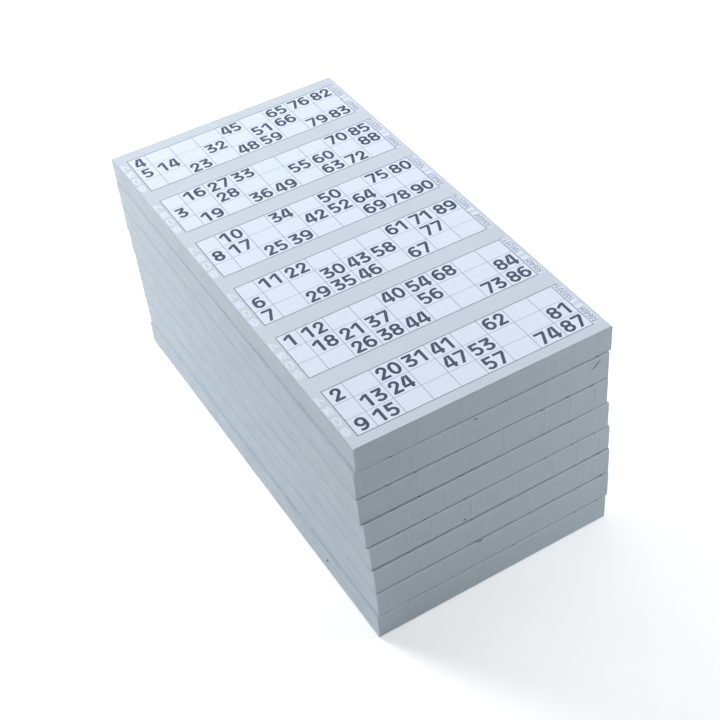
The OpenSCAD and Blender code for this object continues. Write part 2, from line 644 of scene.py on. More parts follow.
class BINGO_OT_numbers(bpy.types.Operator):
    """Models the digits in the three sizes that are printed"""

    bl_idname = "bingo.numbers"
    bl_label = "Model the Numbers"

    def execute(self, context):
        for digit in STROKES:
            for kind, ink in (("caller", "number"), ("serial", "serial")):
                mesh = model_number(f"{kind}_{digit}", digit, getattr(settings(), kind))
                in_slot(mesh, INKS.index(ink))
        for digit in sorted(set(settings().series_number)):
            model_number(f"series_{digit}", digit, settings().series)
        return {"FINISHED"}


class BINGO_OT_tickets(bpy.types.Operator):
    """Models what each ticket of a sheet is printed with"""

    bl_idname = "bingo.tickets"
    bl_label = "Model the Tickets"

    def execute(self, context):
        block = model_block()
        for ink in ("row", "column", "border"):
            in_slot(block.copy(), INKS.index(ink)).name = f"{ink}_block"
        stamped("ticket_rulings", rulings())
        for spot, ticket in enumerate(TICKETS):
            stamped(f"ticket_{spot}", called_numbers(ticket))
        stamped("ticket_fields", field_stamps() + series_stamps())
        bending = stamped_piece("bending", series_stamps())
        for x in bend_places():
            cut(bending, (x - settings().layout.left_margin, 0, 0), (1, 0, 0))
        series = take_mesh(bending, "bending_series")
        stamped("bending_fields", field_stamps() + [(series, Matrix.Identity(4))])
        return {"FINISHED"}


class BINGO_OT_covered_sheets(bpy.types.Operator):
    """Prints the top sheet of each pad, and the sheet that lies under the turning ones"""

    bl_idname = "bingo.covered_sheets"
    bl_label = "Print the Covered Sheets"

    def execute(self, context):
        for pad in range(1, PADS):
            node = f"pad_{pad}_top_sheet"
            NODES[node].material_slots[0].material = bpy.data.materials[f"Cut Leaves {pad}"]
            place, _, sheet_length = leaf_place(node)
            for piece in print_sheet(node, TURNING + 1 + pad, place, sheet_length):
                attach(piece, f"pad_{pad}")
        place, _, sheet_length = leaf_place(f"{TOP_BODY}_leaves")
        for piece in print_sheet(f"{TOP_BODY}_next_sheet", TURNING, place, sheet_length):
            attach(piece, TOP_BODY)
        return {"FINISHED"}


def model_paper():
    """A turning sheet's paper, cut where it bends. Its face, back and edges take slots 0, 1 and 2."""
    _, wide, long = leaf_place("turning_sheet_1")
    low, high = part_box("turning_sheet_1")
    thick = high.z - low.z
    middle = (wide / 2, long / 2, -thick / 2)
    sheet = primitive(bpy.ops.mesh.primitive_cube_add, size=1, location=middle, scale=(wide, long, thick))
    for x in bend_places():
        cut(sheet, (x, 0, 0), (1, 0, 0))
    for face in sheet.data.polygons:
        up = face.normal.z
        face.material_index = 0 if up > FACING else 1 if up < -FACING else 2
    return take_mesh(sheet, "turning_paper"), wide, long


class BINGO_OT_turning_sheets(bpy.types.Operator):
    """Makes the sheets that turn over the gummed edge, each with its print"""

    bl_idname = "bingo.turning_sheets"
    bl_label = "Make the Turning Sheets"

    def execute(self, context):
        template, wide, long = model_paper()
        for sheet in range(1, TURNING + 1):
            node = f"turning_sheet_{sheet}"
            place, own_wide, own_long = leaf_place(node)
            mesh = template.copy()
            for vertex in mesh.vertices:
                if vertex.co.x > wide / 2:
                    vertex.co.x = own_wide
                if vertex.co.y > long / 2:
                    vertex.co.y = own_long
            mesh.transform(place)
            piece = new_object(f"sheet_{sheet}_paper", mesh)
            coat(piece, "Tinted Sheet", "Sheet Back", "Sheet Edge")
            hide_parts(node)
            for each in (piece, *print_sheet(f"sheet_{sheet}", sheet - 1, place, own_long, bends=True)):
                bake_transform(each)
        return {"FINISHED"}


# Gum and cut faces

GUM_STATIONS = 44  # cuts along a gum film
GUM_LEVELS = (0.3, 0.42, 0.5, 0.58, 0.7)  # of a film's height, where it is cut to be modelled
GUM_RIPPLE = 0.07 * MM  # how far the film's outer face goes in or out
GUM_RIPPLE_PITCH = 14 * MM  # from one ripple to the next
GUM_FLAT = 0.5  # of a degree, under which a film's faces are joined
GUM_SMOOTH = 40  # degrees, under which a film's edges look smooth
# Where a pad was gummed in two lifts, the film has a shallow line. Pad, share of its height, depth in mm.
GUM_LINES = ((2, 0.5, 0.12), (4, 0.7, 0.1), (6, 0.5, 0.12), (7, 0.42, 0.14), (7, 0.58, 0.08))


def pad_place(pad):
    """The frame of a pad, which is that of its topmost leaf."""
    return leaf_place(f"pad_{pad}_top_sheet" if pad < PADS else "turning_sheet_1")[0]


def ripple_gum(piece, pad, foot, head):
    """Moves the outer face of a gum film in and out, as a brush leaves it."""
    place = pad_place(pad)
    outwards = place.to_3x3() @ Vector((-1, 0, 0))
    to_pad = place.inverted()
    thickness = max(-(to_pad @ vertex.co).x for vertex in piece.data.vertices)
    lines = {round(share, 3): depth * MM for line_pad, share, depth in GUM_LINES if line_pad == pad}
    for vertex in piece.data.vertices:
        depth = -(to_pad @ vertex.co).x
        if depth < thickness / 2:
            continue
        ripple = noise.noise(vertex.co / GUM_RIPPLE_PITCH + Vector((SEED, pad, 0)))
        share = round((vertex.co.z - foot) / (head - foot), 3)
        vertex.co += outwards * (GUM_RIPPLE * ripple - lines.get(share, 0))


def model_gum(pad):
    """A gum film, from its solid: cut fine, then rippled."""
    node = f"pad_{pad}_gum"
    low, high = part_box(node)
    piece = new_object(f"{node}_film", NODES[node].data.copy())
    piece.data.materials.clear()
    close_up(piece, MERGE * MM)
    join_flat(piece, GUM_FLAT)
    along = pad_place(pad).to_3x3() @ Vector((0, 1, 0))
    for station in range(1, GUM_STATIONS):
        cut(piece, (0, low.y + (high.y - low.y) * station / GUM_STATIONS, 0), along)
    for level in GUM_LEVELS:
        cut(piece, (0, 0, low.z + (high.z - low.z) * level), (0, 0, 1))
    ripple_gum(piece, pad, low.z, high.z)
    alone(piece)
    bpy.ops.object.shade_smooth_by_angle(angle=math.radians(GUM_SMOOTH))
    coat(piece, f"Padding Gum {pad}")
    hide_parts(node)
    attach(piece, f"pad_{pad}")


class BINGO_OT_gum(bpy.types.Operator):
    """Models the gum film down the long edge of each pad"""

    bl_idname = "bingo.gum"
    bl_label = "Gum the Pads"

    def execute(self, context):
        for pad in range(1, PADS + 1):
            model_gum(pad)
        return {"FINISHED"}


# Nicks in the guillotine's blade leave a ridge down each pad. Places from a pad's left edge,
# and how far each pad lay to the side when it was cut, from the bottom pad up.
BLADE_NICKS = [place * MM for place in (16.6, 29.1, 49.6, 71.7, 92.2, 105.9, 118.5)]
BLADE_SHIFTS = [shift * MM for shift in (1.2, 0.5, 2.0, 1.5, -0.7, -0.4, -2.0, -0.2)]
NICK_PLAY = 0.4  # mm, how far a ridge may stand from its nick's place
NOSE_DEPTH = 0.3 * MM  # how far a pad's top leaf stands back from its cut face
RIDGE_WIDTH = 0.42 * MM
RIDGE_WIDTHS = (0.6, 1.1)  # of that width, the narrowest and the widest ridge
RIDGE_DEPTH = 0.16 * MM
RIDGE_PROUD = 0.06 * MM  # how far a ridge stands out of the cut face
RIDGE_CREST = 0.25  # of a ridge's width, how wide it is where it stands out
RIDGE_WANDER = 0.12 * MM  # how far a ridge strays to the side
RIDGE_WANDER_PITCH = 4 * MM  # from one stray to the next
# Up a ridge: share of its height, and its width and depth there beside the middle's
RIDGE_STATIONS = ((-0.5, 1.7, 1.5), (-0.44, 1.4, 1.25), (-0.34, 1, 1), (0.4, 1, 1), (0.5, 1.5, 1.3))
STATION_REACH = 0.01  # of a ridge's height, what counts as at a station
PIT_SHADE = Vector((1.3, 0.3, 0.5)) * MM  # size of the dark blob of painted shadow for the pit that a ridge ends in, at a pad's foot
PIT_SHADED = 0.75  # of the ridges, the share that end in painted pit shadow
PIT_SHADE_LIFTS = (0.3, 0.7)  # of a painted pit shadow's height, how high its middle lies
PIT_SHADE_SIZES = (0.7, 1.3)  # of a painted pit shadow's size, the smallest and the largest
SPECK_RAGGED = 0.35  # of a crumb's size, how uneven its outline is
SPECK_WAVES = 3  # how quickly that changes over a crumb


def reach_of(pad, part, axis):
    """How far a pad's leaves or gum reach along an axis of its frame, towards the front or the left."""
    to_pad = pad_place(pad).inverted()
    return min((to_pad @ vertex.co)[axis] for vertex in NODES[f"pad_{pad}_{part}"].data.vertices)


def model_crumb(name):
    """A ragged crumb of unit size."""
    speck = primitive(bpy.ops.mesh.primitive_ico_sphere_add, subdivisions=2, radius=0.5)
    for vertex in speck.data.vertices:
        vertex.co *= 1 + SPECK_RAGGED * noise.noise(vertex.co * SPECK_WAVES + Vector((SEED, 0, 0)))
    return take_mesh(speck, name)


def model_ridge():
    """One ridge of unit height: a low wedge that spreads where the blade enters and leaves a pad."""
    ridge = primitive(bpy.ops.mesh.primitive_cube_add, size=1, scale=(RIDGE_WIDTH, RIDGE_DEPTH, 1))
    for share, _, _ in RIDGE_STATIONS[1:-1]:
        cut(ridge, (0, 0, share), (0, 0, 1))
    cut(ridge, (0, 0, 0), (1, 0, 0))
    for share, wider, deeper in RIDGE_STATIONS:
        for vertex in ridge.data.vertices:
            if abs(vertex.co.z - share) < STATION_REACH:
                vertex.co.x *= wider
                if vertex.co.y < 0:
                    vertex.co.y *= deeper
    for vertex in ridge.data.vertices:
        if vertex.co.y < 0:
            vertex.co.x *= RIDGE_CREST
    return take_mesh(ridge, "ridge")


def blade_stamps(pad, shift, ridge, chip, chance):
    """Stamps for the ridges down one pad's cut end, and the dark blobs of painted shadow for the pits that
    some of them end in.
    """
    place = pad_place(pad)
    tall = place.translation.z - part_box(f"pad_{pad}_leaves")[0].z
    stamps = []
    for nick in BLADE_NICKS:
        x = nick + shift + chance.uniform(-NICK_PLAY, NICK_PLAY) * MM
        narrow = chance.uniform(*RIDGE_WIDTHS)
        out = Matrix.Translation((x, RIDGE_DEPTH / 2 - RIDGE_PROUD - NOSE_DEPTH, -tall / 2))
        stamps.append((ridge, place @ out @ Matrix.Diagonal((narrow, 1, tall, 1))))
        if pad > 1 and chance.random() < PIT_SHADED:
            lift = PIT_SHADE.z * chance.uniform(*PIT_SHADE_LIFTS)
            foot = Matrix.Translation((x, reach_of(pad, "leaves", 1), lift - tall))
            size = Matrix.Diagonal((*(PIT_SHADE * chance.uniform(*PIT_SHADE_SIZES)), 1))
            stamps.append((chip, place @ foot @ size))
    return stamps


class BINGO_OT_blade_marks(bpy.types.Operator):
    """Models the ridges that the guillotine's nicked blade leaves on the cut ends of the pads, with painted
    shadow in the pits at their feet
    """

    bl_idname = "bingo.blade_marks"
    bl_label = "Mark the Cut Ends"

    def execute(self, context):
        chance = random.Random(SEED)
        ridge = model_ridge()
        # The dark blob of painted shadow for the pit at a ridge's foot.
        chip = in_slot(model_crumb("chip"), 1)
        for pad, shift in zip(range(1, PADS + 1), BLADE_SHIFTS):
            stamps = blade_stamps(pad, shift, ridge, chip, chance)
            piece = stamped_piece(f"pad_{pad}_blade_marks", stamps)
            for vertex in piece.data.vertices:
                vertex.co.x += RIDGE_WANDER * noise.noise(vertex.co / RIDGE_WANDER_PITCH)
            coat(piece, "Blade Mark", "Chip")
            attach(piece, f"pad_{pad}")
        return {"FINISHED"}


class BINGO_OT_cut_leaves(bpy.types.Operator):
    """Gives the separate leaves of each pad their paper and their cut edges"""

    bl_idname = "bingo.cut_leaves"
    bl_label = "Finish the Cut Leaves"

    def execute(self, context):
        for pad in range(1, PADS + 1):
            NODES[f"pad_{pad}_leaves"].material_slots[0].material = bpy.data.materials[f"Cut Leaves {pad}"]
        return {"FINISHED"}


# Things caught in a cut face, in mm. Pad, place from its left edge, depth under its top, width, height.
SPECKS = [(7, 57.3, 1.7, 1.6, 0.8), (4, 47.1, 12.6, 1.2, 0.9), (2, 53.6, 0.6, 2.4, 0.8)]
SPECK_PROUD = 0.12 * MM  # how far a crumb or a scrap stands out of its face
# Scraps of paper torn out of a gummed face, in mm. Place from the foot end, depth under the pad's
# top, length along the pad, height, and lean in degrees.
TORN_PAD = 1
TORN_SCRAPS = [(44.8, 6.9, 0.7, 3.8, 24), (43.8, 5.4, 0.6, 2.4, -38), (35.5, 1.1, 0.7, 0.8, 10)]
# The fibre's points in mm: place from the pad's left edge, depth under its top.
FIBRE_PAD = 7
FIBRE = [(116.3, 5.6), (117.1, 5.5), (117.9, 4.9), (118.5, 3.6), (119.4, 3.0), (120.2, 2.9)]
FIBRE_WIDTH = 0.42 * MM


def lay_on_face(piece, pad, material):
    """Gives what lies on a pad's face its material and its body."""
    coat(piece, material)
    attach(piece, f"pad_{pad}")


class BINGO_OT_specks(bpy.types.Operator):
    """Models the crumbs and the fibre in the cut faces, and the scraps torn out of a gummed one"""

    bl_idname = "bingo.specks"
    bl_label = "Add the Specks"

    def execute(self, context):
        crumb = model_crumb("crumb")
        for pad, *sizes in SPECKS:
            x, depth, wide, high = (size * MM for size in sizes)
            on_face = Matrix.Translation((x, reach_of(pad, "leaves", 1), -depth))
            sized = Matrix.Diagonal((wide, 2 * SPECK_PROUD, high, 1))
            speck = stamped_piece(f"pad_{pad}_speck", [(crumb, pad_place(pad) @ on_face @ sized)])
            lay_on_face(speck, pad, "Speck")
        self.scraps(crumb)
        self.fibre()
        return {"FINISHED"}

    def scraps(self, crumb):
        """The torn scraps, as one piece."""
        stamps = []
        for *sizes, lean in TORN_SCRAPS:
            along, depth, long, high = (size * MM for size in sizes)
            on_face = Matrix.Translation((reach_of(TORN_PAD, "gum", 0), along, -depth))
            leaning = Matrix.Rotation(math.radians(lean), 4, "X")
            sized = Matrix.Diagonal((2 * SPECK_PROUD, long, high, 1))
            stamps.append((crumb, pad_place(TORN_PAD) @ on_face @ leaning @ sized))
        lay_on_face(stamped_piece(f"pad_{TORN_PAD}_torn_scraps", stamps), TORN_PAD, "Speck")

    def fibre(self):
        """The fibre, a round thread with its middle in the cut face."""
        name = f"pad_{FIBRE_PAD}_fibre"
        curve = bpy.data.curves.new(name, "CURVE")
        curve.dimensions = "3D"
        curve.bevel_depth = FIBRE_WIDTH / 2
        curve.bevel_resolution = 2
        curve.use_fill_caps = True
        thread = curve.splines.new("NURBS")
        thread.points.add(len(FIBRE) - 1)
        thread.use_endpoint_u = True
        place, face_y = pad_place(FIBRE_PAD), reach_of(FIBRE_PAD, "leaves", 1)
        for point, (x, depth) in zip(thread.points, FIBRE):
            point.co = (*(place @ Vector((x * MM, face_y, -depth * MM))), 1)
        piece = new_object(name, curve)
        alone(piece)
        bpy.ops.object.convert(target="MESH")
        bpy.ops.object.shade_smooth()
        lay_on_face(piece, FIBRE_PAD, "Fibre")


# Materials

PAPER_GLOSS = 0.25  # uncoated paper mirrors less than plastic
# Each surface's roughness, where its mask is 0 and where it is 1, and how far its grain stands out in mm.
FINISHES = {
    "paper": (0.62, 0.78, 0.02),
    "back": (0.68, 0.84, 0.02),
    "tint": (0.6, 0.72, 0.02),
    "ink": (0.46, 0.6, 0.015),
    "leaves": (0.66, 0.82, 0.02),
    "edge": (0.6, 0.78, 0.02),
    "gum": (0.42, 0.56, 0.012),
    "dirt_and_shade": (0.7, 0.9, 0.03),
}
INK_STARVED = 0.22  # how far ink is let down towards bare paper, where it fills least
SCRATCH_PALE = 0.15  # how far a scratch in the cut leaves is let down towards bare paper
LEDGE_HIGHLIGHT = 0.8  # how far the painted highlight on the ledge under a pad's head is let down towards bare paper
# The colour of each kind of dirt, and of the painted shadow in a pit, and how far its mottle is let down, or
# made deeper by a share below 0.
DIRT_AND_PIT_SHADE = {"Speck": ("speck", -0.3), "Fibre": ("fibre", 0.4), "Chip": ("seam", -0.2)}
# Heights of the painted seam shade at each pad's foot, on the cut ends and along the gum.
SEAM_SHADE_HEIGHTS = [high * MM for high in (0.3, 1, 0.95, 1.05, 0.8, 1, 0.9, 0.6)]  # at each pad's foot
GUM_SEAM_SHADE_HEIGHT = 1.5 * MM
SEAM_SHADE_RAGGED = (0.7, 1.25)  # of a seam's height, where it is lowest and highest
SEAM_SHADE_FULL = 0.6  # of a seam's shade, from where on it is as dark as it gets
HEAD_SEAM_SHADE = 0.15 * MM  # height of the thin painted seam shade under a pad's head
# Where the painted highlight on the ledge under a pad's head starts and ends.
LEDGE = ((0.1 * MM, 0.3 * MM), (0.45 * MM, 1.1 * MM))  # under a pad's head, where a ledge starts and ends


def feed(tree, socket, value):
    """Links a socket to another one, or gives it a constant."""
    if isinstance(value, bpy.types.NodeSocket):
        tree.links.new(value, socket)
    elif hasattr(value, "__len__"):
        socket.default_value = [*value][:3] + [1] * (len(socket.default_value) - 3)
    else:
        socket.default_value = value


def worked_out(tree, operation, *values):
    """A Math node on one or more values."""
    node = tree.nodes.new("ShaderNodeMath")
    node.operation = operation
    for socket, value in zip(node.inputs, values):
        feed(tree, socket, value)
    return node.outputs[0]


def spread(tree, value, low, high, to_low=0, to_high=1):
    """The part of a value between two limits, spread over another range."""
    node = tree.nodes.new("ShaderNodeMapRange")
    labels = ("Value", "From Min", "From Max", "To Min", "To Max")
    for label, given in zip(labels, (value, low, high, to_low, to_high)):
        feed(tree, node.inputs[label], given)
    return node.outputs["Result"]


def summed(tree, *parts):
    """Masks added up, each with its share."""
    (mask, share), *others = parts
    total = worked_out(tree, "MULTIPLY", mask, share)
    for mask, share in others:
        total = worked_out(tree, "MULTIPLY_ADD", mask, share, total)
    return total


def mixed(tree, share, first, second):
    """Two colours mixed by a share."""
    node = tree.nodes.new("ShaderNodeMix")
    node.data_type = "RGBA"
    # The node has sockets for each kind of value. These are its share and those for colours.
    feed(tree, node.inputs[0], share)
    feed(tree, node.inputs[6], first)
    feed(tree, node.inputs[7], second)
    return node.outputs[2]


def cloud(tree, pitch, detail=2, seed=0):
    """Noise with features of a given length, in millimetres, along each axis of the object."""
    place = tree.nodes.new("ShaderNodeTexCoord")
    steps = tree.nodes.new("ShaderNodeMapping")
    steps.inputs["Scale"].default_value = [1 / (each * MM) for each in pitch]
    steps.inputs["Location"].default_value = (seed, seed, seed)
    tree.links.new(place.outputs["Object"], steps.inputs["Vector"])
    node = tree.nodes.new("ShaderNodeTexNoise")
    node.inputs["Scale"].default_value = 1
    node.inputs["Detail"].default_value = detail
    tree.links.new(steps.outputs["Vector"], node.inputs["Vector"])
    return node.outputs["Fac"]


def mottle(tree, pitch, detail=2, seed=0, low=0.3, high=0.7):
    """Noise of which the part between two limits is spread from 0 to 1."""
    return spread(tree, cloud(tree, pitch, detail, seed), low, high)


def split_up(tree, coordinates):
    """X, Y and Z of a point's place on the object, or of its normal."""
    place = tree.nodes.new("ShaderNodeTexCoord")
    parts = tree.nodes.new("ShaderNodeSeparateXYZ")
    tree.links.new(place.outputs[coordinates], parts.inputs["Vector"])
    return parts.outputs


def group_of(name, make, labels, takes=()):
    """A group of effects: make gets its tree and returns one result for each label."""
    tree = bpy.data.node_groups.new(name, "ShaderNodeTree")
    for label in takes:
        tree.interface.new_socket(label, in_out="INPUT", socket_type="NodeSocketFloat")
    for label in labels:
        tree.interface.new_socket(label, in_out="OUTPUT", socket_type="NodeSocketFloat")
    given = [tree.nodes.new("NodeGroupInput").outputs] if takes else []
    end = tree.nodes.new("NodeGroupOutput")
    for label, result in zip(labels, make(tree, *given)):
        tree.links.new(result, end.inputs[label])


def effects(tree, name, **given):
    """The results of a group, put into a material."""
    node = tree.nodes.new("ShaderNodeGroup")
    node.node_tree = bpy.data.node_groups[name]
    for label, value in given.items():
        node.inputs[label].default_value = value
    return node.outputs


def paper_fibre(tree):
    """Short paper fibres, and the cloudy look of the sheet that they make."""
    along = cloud(tree, (0.9, 0.16, 0.5), 3)
    across = cloud(tree, (0.2, 0.7, 0.5), 3, seed=5)
    fibre = worked_out(tree, "MAXIMUM", along, across)
    return spread(tree, fibre, 0.35, 0.75), mottle(tree, (3.5, 3.5, 3.5), 4, seed=9), fibre


def press_tone(tree):
    """How heavily a tint prints: slow drifts, fine grain, and faint streaks from the rollers."""
    drift = mottle(tree, (28, 60, 28))
    grain = mottle(tree, (0.35, 0.35, 0.35), seed=3)
    streak = mottle(tree, (90, 0.8, 90), 3, seed=7, low=0.35)
    return summed(tree, (grain, 0.25), (drift, 0.45), (streak, 0.3)), grain


def leaf_stack(tree):
    """The edges of stacked leaves: fine lines from leaf to leaf, grain, and upright knife streaks. Their tone
    mixes the cut edge with its painted shade, for leaves that stand back.
    """
    leaf = mottle(tree, (60, 60, 0.13), 1)
    band = mottle(tree, (600, 600, 0.7), 3, seed=2, high=0.75)
    grain = mottle(tree, (0.7, 0.7, 0.35), 3, seed=12)
    scratch = mottle(tree, (5, 5, 0.22), seed=8, low=0.64, high=0.72)
    knife = mottle(tree, (0.6, 0.6, 25), seed=4, low=0.35)
    tone = summed(tree, (band, 0.16), (leaf, 0.2), (grain, 0.4), (knife, 0.14))
    return tone, scratch, summed(tree, (knife, 0.5), (leaf, 0.6))


def painted_pad_borders(tree, ends):
    """The leaves next to a pad's foot and head: a ragged seam of painted shade, and a painted highlight on
    the ledge that catches light.
    """
    z = split_up(tree, "Object")["Z"]
    ragged = cloud(tree, (2.2, 2.2, 9), 4, seed=11)
    above_foot = worked_out(tree, "SUBTRACT", z, ends["Foot"])
    below_head = worked_out(tree, "SUBTRACT", ends["Head"], z)
    reach = worked_out(tree, "MULTIPLY", spread(tree, ragged, 0.3, 0.7, *SEAM_SHADE_RAGGED), ends["Reach"])
    foot = spread(tree, above_foot, 0, reach, 1, 0)
    head = spread(tree, below_head, 0, HEAD_SEAM_SHADE, 1, 0)
    into, out = (spread(tree, below_head, *limits) for limits in LEDGE)
    seam = spread(tree, worked_out(tree, "MAXIMUM", foot, head), 0, SEAM_SHADE_FULL)
    return seam, worked_out(tree, "SUBTRACT", into, out)


def facing(tree):
    """Which parts of a stack face up, down, or towards the gum."""
    normal = split_up(tree, "Normal")
    up = worked_out(tree, "GREATER_THAN", normal["Z"], FACING)
    down = worked_out(tree, "LESS_THAN", normal["Z"], -FACING)
    gummed = worked_out(tree, "LESS_THAN", normal["X"], -FACING)
    return up, down, gummed


def new_material(name):
    """A material with only its shader and its output."""
    material = bpy.data.materials.new(name)
    material.use_nodes = True
    shader = material.node_tree.nodes["Principled BSDF"]
    shader.inputs["Specular IOR Level"].default_value = PAPER_GLOSS
    return material.node_tree, shader


def surface(tree, shader, colour, finish, mask, height):
    """Feeds a shader its colour and a finish: the mask gives its roughness, and the height its grain."""
    smooth, rough, relief = FINISHES[finish]
    bump = tree.nodes.new("ShaderNodeBump")
    bump.inputs["Distance"].default_value = relief * MM
    bump.inputs["Strength"].default_value = 1
    feed(tree, bump.inputs["Height"], height)
    feed(tree, shader.inputs["Base Color"], colour)
    feed(tree, shader.inputs["Roughness"], spread(tree, mask, 0, 1, smooth, rough))
    feed(tree, shader.inputs["Normal"], bump.outputs["Normal"])


def paper_material(name, finish):
    """Bare paper: cloudy, with its fibres standing a little proud."""
    colours = settings().colours
    tree, shader = new_material(name)
    fibre = effects(tree, "Paper Fibre")
    tone = summed(tree, (fibre["Fibre"], 0.4), (fibre["Cloud"], 0.6))
    colour = mixed(tree, tone, colours.white, colours.white_deep)
    surface(tree, shader, colour, finish, fibre["Fibre"], fibre["Height"])


def tinted(tree):
    """The colour of the tint, as it prints."""
    colours = settings().colours
    return mixed(tree, effects(tree, "Press Tone")["Tone"], colours.tint, colours.tint_deep)


def sheet_material():
    """The tinted face of a sheet."""
    tree, shader = new_material("Tinted Sheet")
    fibre = effects(tree, "Paper Fibre")
    surface(tree, shader, tinted(tree), "tint", fibre["Fibre"], fibre["Height"])


def ink_material(name, ink, thin):
    """Ink on paper: it fills less well where the fibres stand up, and has a slight sheen."""
    tree, shader = new_material(name)
    tone, fibre = effects(tree, "Press Tone"), effects(tree, "Paper Fibre")
    starved = worked_out(tree, "MULTIPLY", spread(tree, fibre["Fibre"], 0.45, 1), tone["Grain"])
    patchy = worked_out(tree, "MULTIPLY_ADD", tone["Tone"], 0.3, starved)
    surface(tree, shader, mixed(tree, patchy, ink, thin), "ink", tone["Grain"], fibre["Height"])


def let_down(colour, share):
    """A colour let down towards bare paper, or made deeper by a share below 0."""
    return [a + (b - a) * share for a, b in zip(colour, settings().colours.white)]


def leaves_material(name, foot, head, seam_shade_height):
    """A stack of leaves: cut edges on its sides, tinted above and bare below. Its sides have painted shade at
    the seams between pads.
    """
    colours = settings().colours
    tree, shader = new_material(name)
    stack, fibre, faces = effects(tree, "Leaf Stack"), effects(tree, "Paper Fibre"), effects(tree, "Facing")
    borders = effects(tree, "Pad Borders", Foot=foot, Head=head, Reach=seam_shade_height)
    # The cut sides: the edge colour mixed with its painted shade for leaves that stand back, by the stack's
    # tone.
    sides = mixed(tree, stack["Tone"], colours.edge, colours.edge_shaded)
    # Pale scratches, and the painted highlight on the ledge under a pad's head.
    for mask, share in ((stack["Scratch"], SCRATCH_PALE), (borders["Ledge"], LEDGE_HIGHLIGHT)):
        sides = mixed(tree, worked_out(tree, "MULTIPLY", mask, share), sides, colours.white)
    # Painted shade at the seams between pads, with its own colour on the gummed side.
    seam = mixed(tree, faces["Gummed"], colours.seam, colours.gum_seam)
    sides = mixed(tree, borders["Seam"], sides, seam)
    bare = mixed(tree, fibre["Cloud"], colours.white, colours.white_deep)
    colour = mixed(tree, faces["Down"], mixed(tree, faces["Up"], sides, tinted(tree)), bare)
    surface(tree, shader, colour, "leaves", fibre["Fibre"], fibre["Height"])


def edge_material(name, light, deep):
    """A face across the leaves' edges."""
    tree, shader = new_material(name)
    stack, fibre = effects(tree, "Leaf Stack"), effects(tree, "Paper Fibre")
    colour = mixed(tree, stack["Tone"], light, deep)
    surface(tree, shader, colour, "edge", fibre["Fibre"], stack["Height"])


def gum_material(name, foot, head):
    """Dried padding gum: a thin even film that lets the leaves show through as faint lines, with painted
    shade at the seams between pads.
    """
    colours = settings().colours
    tree, shader = new_material(name)
    leaf = mottle(tree, (60, 60, 0.35))
    brush = mottle(tree, (18, 18, 0.8), 3, seed=6, low=0.35)
    pool = mottle(tree, (16, 16, 5), 3, seed=1, low=0.35, high=0.75)
    thin = summed(tree, (brush, 0.25), (leaf, 0.2), (pool, 0.35))
    # Painted shade along the film's border, where two pads meet.
    seam = effects(tree, "Pad Borders", Foot=foot, Head=head, Reach=GUM_SEAM_SHADE_HEIGHT)["Seam"]
    colour = mixed(tree, seam, mixed(tree, thin, colours.gum, colours.gum_deep), colours.gum_seam)
    surface(tree, shader, colour, "gum", pool, worked_out(tree, "ADD", brush, leaf))


def dirt_and_shade_material(name, colour, share):
    """Crumbs and fibres, and the painted shadow in a pit: mottled, dull and rough."""
    tree, shader = new_material(name)
    mask = mottle(tree, (0.3, 0.3, 0.3), 3)
    surface(tree, shader, mixed(tree, mask, colour, let_down(colour, share)), "dirt_and_shade", mask, mask)


class BINGO_OT_materials(bpy.types.Operator):
    """Makes the papers, inks, gum and dirt, with painted shade at the seams and in the pits, and painted
    highlights on the ledges
    """

    bl_idname = "bingo.materials"
    bl_label = "Make the Materials"

    def execute(self, context):
        colours = settings().colours
        group_of("Paper Fibre", paper_fibre, ("Fibre", "Cloud", "Height"))
        group_of("Press Tone", press_tone, ("Tone", "Grain"))
        group_of("Leaf Stack", leaf_stack, ("Tone", "Scratch", "Height"))
        group_of("Facing", facing, ("Up", "Down", "Gummed"))
        group_of("Pad Borders", painted_pad_borders, ("Seam", "Ledge"), takes=("Foot", "Head", "Reach"))
        paper_material("Unprinted Paper", "paper")
        paper_material("Sheet Back", "back")
        sheet_material()
        edge_material("Sheet Edge", colours.edge, colours.edge_shaded)
        edge_material("Blade Mark", colours.mark, colours.edge)
        for pad, seam_shade_height in zip(range(1, PADS + 1), SEAM_SHADE_HEIGHTS):
            foot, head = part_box(f"pad_{pad}_leaves")[0].z, pad_place(pad).translation.z
            leaves_material(f"Cut Leaves {pad}", foot, head, seam_shade_height)
            gum_material(f"Padding Gum {pad}", foot, head)
        for name in INKS:
            ink = getattr(colours, f"{name}_ink")
            ink_material(f"{name.title()} Ink", ink, let_down(ink, INK_STARVED))
        for name, (colour, share) in DIRT_AND_PIT_SHADE.items():
            dirt_and_shade_material(name, getattr(colours, colour), share)
        return {"FINISHED"}


# Stage

FLOOR_DROP = 0.05 * MM  # under the part
FLOOR_CORNERS = 96
FLOOR_ROUGH = 0.8
FLOOR_SHADE = 0.97  # of the floor's colour, where it is deepest
# The middle of each lamp, and how wide it is, in metres.
LAMPS = {
    "key": ((-0.42, 0.78, 0.72), 0.6),
    "top": ((0.3, 0.35, 1.7), 1.4),
    "fill": ((0.62, -0.36, 0.3), 0.5),
}


def seen_directly(tree):
    """1 where the camera, or a mirror or glass in front of it, sees a thing; 0 where it only lights."""
    rays = tree.nodes.new("ShaderNodeLightPath")
    seen = worked_out(tree, "MAXIMUM", rays.outputs["Is Camera Ray"], rays.outputs["Is Glossy Ray"])
    return worked_out(tree, "MAXIMUM", seen, rays.outputs["Is Transmission Ray"])


def lamp(name, place, size, power):
    """A round lamp that shines on the middle of the stack's foot."""
    light = bpy.data.lights.new(name, "AREA")
    light.shape = "DISK"
    light.size = size
    light.energy = power
    piece = new_object(name, light)
    piece.location = place
    piece.rotation_euler = (-Vector(place)).to_track_quat("-Z", "Y").to_euler()


